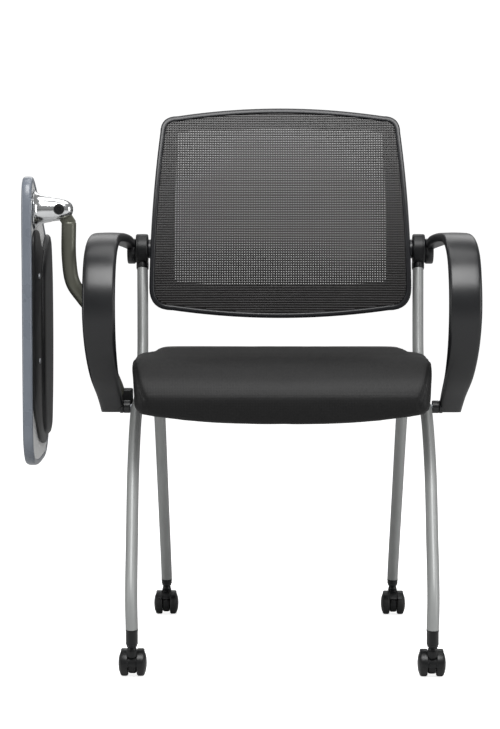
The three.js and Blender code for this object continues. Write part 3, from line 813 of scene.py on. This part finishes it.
def windowOutline(grow):
    return grown(windowSpec, grow)


def backLoop(name, corners, material):
    # corners go round the section of the ring: (outline, depth behind the front face)
    columns = [[at(x, backFront(x, z) + depth, z) for x, z in outline] for outline, depth in corners]
    rings = [[column[i] for column in columns] for i in range(len(columns[0]))]
    return loft(name, rings, material, loop=True, sharp=38)


def makeBackFrame():
    rim = backSpec["rim"]
    corners = [(backOutline(0), 3.2), (backOutline(0.5), 1.4), (backOutline(1.8), 0.3), (backOutline(3.4), 0),
               (backOutline(rim - 2.6), 0), (backOutline(rim - 1), 0.5), (backOutline(rim), 2.0),
               (backOutline(rim), 14), (windowOutline(1), 14), (windowOutline(0), 15), (windowOutline(0), 19),
               (windowOutline(1), 20), (backOutline(3), 20), (backOutline(0.8), 19.2), (backOutline(0), 17.4)]
    ring = backLoop("backRing", corners, backPlastic)
    lugs = []
    for name, sign in sides:
        low, high = sorted((sign * 210.5, sign * 222))
        lugs.append(blockPiece("lug", (low, 178.5, 645), (high, 197.5, 667), backPlastic, 2))
        lugs.append(turnedX("boss", hingeBoss, (0, hubSpec["y"], hubSpec["z"]), backPlastic, sign))
    fit(joined("backFrame", [ring] + lugs), "backrest", "back_plastic", "back_frame")
    corners = [(backOutline(10.5), 7.4), (backOutline(11.2), 6.6), (windowOutline(2), 6.6),
               (windowOutline(0.4), 7.4), (windowOutline(0), 9), (windowOutline(0), 12.6),
               (backOutline(10.5), 12.6)]
    carrier = backLoop("meshCarrier", corners, backPlastic)
    fit(carrier, "backrest", "back_plastic", "mesh_carrier")


meshSpec = dict(pitchX=4.3, pitchZ=4.25, weft=3.4, weftThick=0.7, warp=3.1, warpThick=0.6, depth=3.0,
                layer=0.7, inset=9.2, bottom=538.1, top=903, wide=430, nudge=0.02, shortest=20, stepsX=30, stepsZ=24)


def spanAt(outline, value, axis):
    # where a straight line at this x or z crosses the outline
    hits = []
    for a, b in zip(outline, outline[1:] + outline[:1]):
        if (a[axis] - value) * (b[axis] - value) < 0:
            t = (value - a[axis]) / (b[axis] - a[axis])
            hits.append(a[1 - axis] + (b[1 - axis] - a[1 - axis]) * t)
    return (min(hits), max(hits)) if len(hits) > 1 else None


def makeBackMesh():
    # every yarn is its own flat ribbon, so the window is really open between them
    spec = meshSpec
    outline = backOutline(spec["inset"])
    verts, faces = [], []

    def ribbon(points, across, width, thick):
        start = len(verts)
        for p in points:
            for a, b in ((-width / 2, 0), (0, -thick / 2), (width / 2, 0), (0, thick / 2)):
                q = p + across * a
                verts.append(at(q.x, q.y + b, q.z))
        faces.extend(tuple(start + i for i in face) for face in loftFaces(len(points), 4, False, True))

    for k in range(int((spec["top"] - spec["bottom"]) / spec["pitchZ"])):
        z = spec["bottom"] + k * spec["pitchZ"]
        span = spanAt(outline, z, 1)
        if span and span[1] - span[0] > spec["shortest"]:
            steps = spec["stepsX"]
            xs = [span[0] + (span[1] - span[0]) * i / steps for i in range(steps + 1)]
            ribbon([Vector((x, backFront(x, z) + spec["depth"], z)) for x in xs], Vector((0, 0, 1)),
                   spec["weft"], spec["weftThick"])
    columns = int(spec["wide"] / spec["pitchX"])
    for k in range(columns + 1):
        x = (k - columns / 2) * spec["pitchX"] + spec["nudge"]
        span = spanAt(outline, x, 0)
        if span and span[1] - span[0] > spec["shortest"]:
            steps = spec["stepsZ"]
            zs = [span[0] + (span[1] - span[0]) * i / steps for i in range(steps + 1)]
            ribbon([Vector((x, backFront(x, z) + spec["depth"] + spec["layer"], z)) for z in zs],
                   Vector((1, 0, 0)), spec["warp"], spec["warpThick"])
    data = bpy.data.meshes.new("backWeave")
    data.from_pydata(verts, [], faces)
    data.shade_flat()
    data.materials.append(yarn)
    weave = bpy.data.objects.new("backWeave", data)
    bpy.context.scene.collection.objects.link(weave)
    fit(weave, "backrest", "back_mesh", "back_mesh")


makeBackFrame()
makeBackMesh()
print("back frame and mesh")


seatSpec = dict(front=-245, rear=190, inset=3.5, cap=4.0, seamFromSide=9, seamDepth=1.5, seamWidth=1.9,
                overhang=4, restsFrom=-190, rings=72)
seatTop = curveThrough([(-245, 404), (-240, 432), (-222, 462), (-185, 482), (-130, 489), (0, 489), (120, 487),
                        (180, 484), (190, 474)])
seatBottom = curveThrough([(-245, 394), (-236, 387), (-222, 388), (-205, 402), (-185, 420), (-120, 432),
                           (0, 440), (95, 447.5), (180, 450), (190, 455)])
seatHalf = curveThrough([(-245, 205), (-235, 222), (-200, 233), (-120, 237), (-60, 233), (0, 224), (60, 220),
                         (150, 216), (178, 206), (190, 188)])


def cushionShape():
    # foam block in its sewn cover, before the filling pushes it out
    rings = []
    inset = seatSpec["inset"]
    for i in range(seatSpec["rings"] + 1):
        t = i / seatSpec["rings"]
        eased = t - 0.11 * math.sin(2 * math.pi * t)          # closer rings where the ends turn down
        y = seatSpec["front"] + inset + (seatSpec["rear"] - seatSpec["front"] - 2 * inset) * eased
        low = seatBottom(y) + (0.7 if y > seatSpec["restsFrom"] else -2.5)
        high = seatTop(y) - inset
        half = seatHalf(y) + seatSpec["overhang"] - inset
        radius = min(9, (high - low) / 2 - 0.5)
        ring = []
        for a, b in roundedRect(half, (high - low) / 2, radius, 6, 26):
            edge = min(abs(a) / half, 1) ** 2.4
            lift = 18 * edge * (-150 - y) / 95 if b < 0 and y < -150 else 0
            ring.append(at(a, y, (low + high) / 2 + b + lift))
        rings.append(ring)
    return loft("seatCushion", rings, cloth, sharp=180)


def densify(piece, voxel):
    remesh = piece.modifiers.new("remesh", "REMESH")
    remesh.mode = "VOXEL"
    remesh.voxel_size = voxel * mm
    remesh.use_smooth_shade = True
    applyModifiers(piece)


fillingSpec = dict(quality=4, mass=0.3, tension_stiffness=25, compression_stiffness=25, shear_stiffness=8,
                   bending_stiffness=2, use_pressure=True)


def inflate(piece, pressure, cap):
    # the filling pushes the cover out, as far as the foam lets it
    before = [v.co.copy() for v in piece.data.vertices]
    soft = piece.modifiers.new("filling", "CLOTH")
    for key, value in fillingSpec.items():
        setattr(soft.settings, key, value)
    soft.settings.uniform_pressure_force = pressure
    soft.settings.effector_weights.gravity = 0
    scene = bpy.context.scene
    frames = 20
    soft.point_cache.frame_start, soft.point_cache.frame_end = 1, frames
    for step in range(1, frames + 1):
        scene.frame_set(step)
    graph = bpy.context.evaluated_depsgraph_get()
    moved = [v.co.copy() for v in piece.evaluated_get(graph).data.vertices]
    piece.modifiers.clear()
    scene.frame_set(1)
    for vertex, start, end in zip(piece.data.vertices, before, moved):
        shift = end - start
        if shift.length > cap * mm:
            shift *= cap * mm / shift.length
        vertex.co = start + shift


def settleCushion(piece):
    # flat where it rests on the pan, with a seam drawn in along each side
    spec = seatSpec
    normals = [vertex.normal.copy() for vertex in piece.data.vertices]
    for vertex, normal in zip(piece.data.vertices, normals):
        x, y, z = own(vertex.co)
        y = min(max(y, spec["front"]), spec["rear"] + 2)
        floor = seatBottom(y)
        if z < floor and y > spec["restsFrom"]:
            z = floor
        drawn = 0
        if z > floor + 8:
            seam = seatHalf(y) + spec["overhang"] - spec["seamFromSide"]
            drawn = math.exp(-((abs(x) - seam) / spec["seamWidth"]) ** 2)
        pull = spec["seamDepth"] * drawn
        vertex.co = at(x - normal.x * pull, y - normal.y * pull, z - normal.z * pull)


def makeSeat():
    cushion = cushionShape()
    densify(cushion, 5)
    inflate(cushion, 4.0, seatSpec["cap"])
    smooth = cushion.modifiers.new("relax", "CORRECTIVE_SMOOTH")
    smooth.iterations = 3
    smooth.use_only_smooth = True
    applyModifiers(cushion)
    fine = cushion.modifiers.new("fine", "SUBSURF")
    fine.levels = 1
    applyModifiers(cushion)
    settleCushion(cushion)
    for face in cushion.data.polygons:
        face.use_smooth = True
    fit(cushion, "seat", "seat_fabric", "seat_cushion")


def makeSeatPan():
    # moulded pan: rolled edge all round and three strengthening ribs under it
    rings = []
    count = 44
    low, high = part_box("seat_pan")
    start, end = own(low).y, own(high).y
    for i in range(count + 1):
        y = start + (end - start) * i / count
        half = min(212, seatHalf(y) - 10)
        top = seatBottom(y) - 1.3
        section = [(-half, -2.4), (-half + 0.7, -4.4), (-half + 3, -5.0), (half - 3, -5.0),
                   (half - 0.7, -4.4), (half, -2.4), (half - 0.6, -0.6), (half - 2, 0), (-half + 2, 0), (-half + 0.6, -0.6)]
        rings.append([at(a, y, top + b) for a, b in section])
    shell = loft("panShell", rings, absPlastic)
    ribs = []
    for x in (-60, 0, 60):
        path = [Vector((x, y, seatBottom(y) - 7.4)) for y in range(-140, 71, 10)]
        ribs.append(loft("rib", placed(sweep(path, lambda t: roundedRect(2, 3.4, 0.8, 2))), absPlastic))
    fit(joined("seatPan", [shell] + ribs), "seat", "pan_plastic", "seat_pan")


makeSeat()
makeSeatPan()
print("seat")


postSpec = dict(x=-340, radius=11.75)
postPath = [(-340, -96, 699.0), (-340, -96, 640), (-334, -96, 602), (-318, -94, 578), (-300, -88, 553),
            (-290, -70, 510), (-281, -35, 458), (-272, 0, 425), (-268.5, 13, 405), (-268, 15, 388)]


clampScrew = [(-288, 4.6), (-287.4, 5.2), (-284, 5.2), (-283.6, 4.8)]


def makePost():
    section = oval(postSpec["radius"] * 2, postSpec["radius"] * 2, 32)
    rings = placed(sweep(smoothPath(postPath, 90), lambda t: section, 1.6))
    fit(loft("tabletPost", rings, postPaint, sharp=60), "frame", "post_paint", "tablet_post")
    clamp = blockPiece("postClamp", (-284.5, -2, 386), (-247, 33, 424), absPlastic, 3)
    heads = [turnedX("head", clampScrew, (0, 6, z), zinc) for z in (393, 417)]
    fit(joined("postClampShell", [clamp] + heads), "frame", "frame_plastic", "post_clamp")


tabletSpec = dict(under=-395, face=-411, axisY=-96, axisZ=719, hingeX=-354, band=9)
bracketCone = [(-401, 7.8), (-394.9, 8), (-394.7, 29), (-394.2, 29.9), (-392.6, 30), (-391.4, 28.6),
               (-389.4, 26.2), (-385, 23.6), (-376, 21.2), (-366, 19.6), (-356, 18.4), (-348, 16.6),
               (-342, 14.4), (-337.6, 11.8), (-335, 9), (-333.7, 6), (-333.5, 3)]
# both of these are measured along Y from the bracket's own middle
capProfile = [(-15.3, 8), (-18.4, 8), (-19.2, 7.4), (-19.5, 6), (-19.5, 3.4), (-18.7, 2.9)]
boltProfile = [(-14.6, 4), (14.4, 4), (14.6, 7), (18, 7), (18.5, 6.2), (18.5, 3.2), (17, 3)]


def makeBracket():
    # cast cone with a slot for the post's eye, and a flat seat on each side for the bolt
    y, z, hinge = tabletSpec["axisY"], tabletSpec["axisZ"], tabletSpec["hingeX"]
    cone = turnedX("bracket", bracketCone, (0, y, z), castMetal, segments=72, sharp=40)
    slot = blockPiece("slot", (-369, y - 5.3, 685), (-320, y + 5.3, 755), castMetal)
    seatFront = turnedY("seat", [(y - 40, 9), (y - 15, 9)], (hinge, z), castMetal)
    seatRear = turnedY("seat", [(y + 14, 8), (y + 40, 8)], (hinge, z), castMetal)
    carve(cone, slot, seatFront, seatRear, sharp=28)
    fit(cone, "tablet_arm", "polished_aluminium", "tablet_bracket")
    cap = turnedY("boltCapDome", [(y + a, r) for a, r in capProfile], (hinge, z), absPlastic)
    fit(cap, "tablet_arm", "frame_plastic", "bolt_cap")
    bolt = turnedY("hingeBoltSmooth", [(y + a, r) for a, r in boltProfile], (hinge, z), zinc)
    fit(bolt, "tablet_arm", "zinc_steel", "hinge_bolt")


lugSpec = dict(half=5, radius=11, start=0.5, end=math.pi * 1.05, steps=12)


def makePostHead():
    # an eye on a neck that stands in the tube
    y, z, hinge = tabletSpec["axisY"], tabletSpec["axisZ"], tabletSpec["hingeX"]
    spec = lugSpec
    outline = [(-350.5, 695.9), (-329.5, 695.9), (-329.5, 701), (-344, 724)]
    for i in range(spec["steps"] + 1):
        a = spec["start"] + (spec["end"] - spec["start"]) * i / spec["steps"]
        outline.append((hinge + spec["radius"] * math.cos(a), z + spec["radius"] * math.sin(a)))
    rings = [[at(a, y + d, b) for a, b in outline] for d in (-spec["half"], spec["half"])]
    lug = loft("lug", rings, postPaint)
    bevel(lug, 0.8, 2)
    plug = turnedZ("plug", barProfile(672, 696.4, 8.5), (postSpec["x"], y), castMetal)
    fit(joined("postHead", [lug, plug]), "frame", "polished_aluminium", "post_head")


makePost()
makeBracket()
makePostHead()
print("tablet post and bracket")


boardCorners = [(-140, 600), (-140, 400), (-136, 345), (-118, 318), (-75, 306), (-10, 305), (52, 313),
                (86, 345), (102, 400), (111, 480), (112, 560), (104, 625), (75, 669), (20, 708), (-49, 749),
                (-104, 771), (-128, 762), (-139, 735)]


def boardOutline(inset, count=150):
    points = closedLoop(boardCorners, count)
    result = []
    for i, point in enumerate(points):
        along = (points[(i + 1) % count] - points[i - 1]).normalized()
        result.append((point.x - along.y * inset, point.y + along.x * inset))
    return result


def plateRings(steps):
    # steps are (inset, x) from one face of a plate round to the other
    return [[at(x, y, z) for y, z in boardOutline(inset)] for inset, x in steps]


def makeTablet():
    spec = tabletSpec
    under, face, band = spec["under"], spec["face"], spec["band"]
    steps = [(band, face + 1), (band - 0.6, face + 0.2), (4.5, face), (2.2, face + 0.5), (0.8, face + 1.8),
             (0, face + 4), (0, under - 5), (0.7, under - 2.2), (2.0, under - 0.7), (4, under),
             (band - 0.5, under), (band, under - 0.8)]
    columns = plateRings(steps)
    rings = [[column[i] for column in columns] for i in range(len(columns[0]))]
    # the band's material carries a painted highlight: its grey is lighter than the band's own
    edge = loft("tabletEdgeBand", rings, edgeBandPaintedHighlight, loop=True, sharp=40)
    fit(edge, "tablet", "edge_band", "tablet_edge")
    steps = [(band + 1.2, face + 0.5), (band + 0.3, face + 1), (band + 0.3, under - 1.6),
             (band + 0.9, under - 1)]
    board = loft("tabletBoard", plateRings(steps), laminate)
    centre = (under, spec["axisY"], spec["axisZ"])
    recess = turnedX("recess", [(-4.5, 32), (9, 32)], centre, laminate)
    pinRoom = turnedX("room", [(-7, 9), (9, 9)], centre, laminate)
    carve(board, recess, pinRoom)
    fit(board, "tablet", "laminate", "tablet_board")
    plate = turnedX("swivelPlate", [(-4, 31), (-3.4, 31.6), (-0.8, 31.6), (-0.2, 31)], centre, zinc,
                    segments=64)
    hole = turnedX("hole", [(-9, 8.4), (9, 8.4)], centre, zinc)
    carve(plate, hole)
    fit(plate, "tablet", "zinc_steel", "swivel_plate")


coverOutline = [(-122, 676), (-125, 600), (-125, 405), (-98, 378), (-48, 345), (30, 338), (78, 400),
                (91, 480), (91, 560), (82, 625), (60, 672), (10, 655), (-22, 660), (-60, 684)]
coverSteps = ((0.998, -0.5), (1.0, 0), (1.0, 2.2), (0.992, 3.0))    # share of the outline kept, height
ridgeOutline = [(64, 680), (-6, 643), (-30, 612), (-34, 520), (-32, 420), (-14, 362), (30, 346), (66, 352),
                (82, 400), (92, 480), (93, 560), (86, 632)]
ridgeSteps = ((1.0, -0.4), (1.0, 3.2), (0.985, 5), (0.94, 7.4), (0.86, 8.7), (0.7, 9), (0.3, 9))


def makeUnderCover():
    # thin dark panel on the underside, with a raised hollow ridge towards the far edge
    def shrunk(loop, keep, x):
        middle = sum(loop, Vector()) / len(loop)
        keepZ = 1 - (1 - keep) * 0.4
        return [at(x, middle.x + (p.x - middle.x) * keep, middle.y + (p.y - middle.y) * keepZ) for p in loop]

    def shell(name, outline, steps, material):
        loop = closedLoop(outline, 110)
        rings = [shrunk(loop, keep, tabletSpec["under"] + x) for keep, x in steps]
        return loft(name, rings, material, sharp=60)

    panel = shell("panel", coverOutline, coverSteps, absPlastic)
    ridge = shell("ridge", ridgeOutline, ridgeSteps, backPlastic)
    fit(joined("tabletUnderCover", [panel, ridge]), "tablet", "pan_plastic", "tablet_under_cover")


makeTablet()
makeUnderCover()
print("tablet")


def dress(node, material):
    # a solid that stays as it was packed takes a material and nothing else
    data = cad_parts[node].data
    data.materials.clear()
    data.materials.append(material)


for name, _ in sides:
    dress(f"arm_bolt_{name}", zinc)
    dress(f"hub_pin_{name}", zinc)
    dress(f"torsion_bush_{name}", rubber)
    dress(f"seat_hinge_{name}", absPlastic)
    dress(f"seat_bumper_{name}", rubber)
    for row in casterRows:
        dress(f"caster_axle_{row}_{name}", zinc)
for node in ("tablet_screw_upper", "tablet_screw_lower"):
    dress(node, zinc)


studioSpec = dict(floorHalf=30, floorGlow=0.8, worldStrength=0.26, backdropStrength=1.05)
# place and aim in metres, size in metres, power in watts
lampPlan = (("key", (0.2, -2.1, 3.1), (0.05, 0, 0.6), (2.4, 1.8), 112),
            ("behind", (0, 2.0, 2.0), (0, 0, 0.6), (2.2, 0.8), 9),
            ("overhead", (0.1, 0.2, 2.4), (0.05, 0.1, 0.5), (1.6, 1.0), 10),
            ("leftStrip", (-2.2, -0.9, 1.0), (0, 0, 0.6), (0.5, 1.6), 10),
            ("rightStrip", (2.3, -0.9, 0.9), (-0.2, 0, 0.5), (0.6, 1.6), 14))


def makeFloor():
    material = newMaterial("pale studio floor", Roughness=0.8)
    tree = material.node_tree
    shader = tree.nodes["Principled BSDF"]
    shader.inputs["Base Color"].default_value = linearFromHex("#f4f4f4")
    shader.inputs["Emission Color"].default_value = linearFromHex("#ffffff")
    shader.inputs["Emission Strength"].default_value = studioSpec["floorGlow"]
    # seen by the chair itself the floor is grey, as if flagged off, so that it doesn't light it from below
    flagged = put(tree, "ShaderNodeBsdfDiffuse", {"Color": linearFromHex("#c8c8c8")})
    seen = put(tree, "ShaderNodeLightPath")
    both = put(tree, "ShaderNodeMixShader", {0: seen.outputs["Is Camera Ray"], 1: flagged.outputs[0],
                                             2: shader.outputs[0]})
    tree.links.new(both.outputs[0], tree.nodes["Material Output"].inputs["Surface"])
    half = studioSpec["floorHalf"]
    verts = [Vector((x, y, -0.0005)) for x, y in ((-half, -half), (half, -half), (half, half), (-half, half))]
    meshPiece("studioFloor", verts, [(0, 1, 2, 3)], material)


def softbox(name, place, aim, size, power):
    data = bpy.data.lights.new(name, "AREA")
    data.shape = "RECTANGLE"
    data.size, data.size_y = size
    data.energy = power
    lamp = bpy.data.objects.new(name, data)
    bpy.context.scene.collection.objects.link(lamp)
    lamp.location = Vector(place)
    lamp.rotation_euler = (Vector(aim) - Vector(place)).to_track_quat("-Z", "Y").to_euler()


def makeLights():
    # the room round the chair is grey, and the paper behind it that the camera sees is white
    world = bpy.data.worlds.new("studio")
    bpy.context.scene.world = world
    world.use_nodes = True
    tree = world.node_tree
    room = tree.nodes["Background"]
    room.inputs["Color"].default_value = (1, 1, 1, 1)
    room.inputs["Strength"].default_value = studioSpec["worldStrength"]
    backdrop = put(tree, "ShaderNodeBackground", {"Color": (1, 1, 1, 1),
                                                  "Strength": studioSpec["backdropStrength"]})
    seen = put(tree, "ShaderNodeLightPath")
    both = put(tree, "ShaderNodeMixShader", {0: seen.outputs["Is Camera Ray"], 1: room.outputs[0],
                                             2: backdrop.outputs[0]})
    tree.links.new(both.outputs[0], tree.nodes["World Output"].inputs["Surface"])
    for name, place, aim, size, power in lampPlan:
        softbox(name, place, aim, size, power)


makeFloor()
makeLights()
bpy.context.scene.view_settings.view_transform = "Standard"
print("studio")
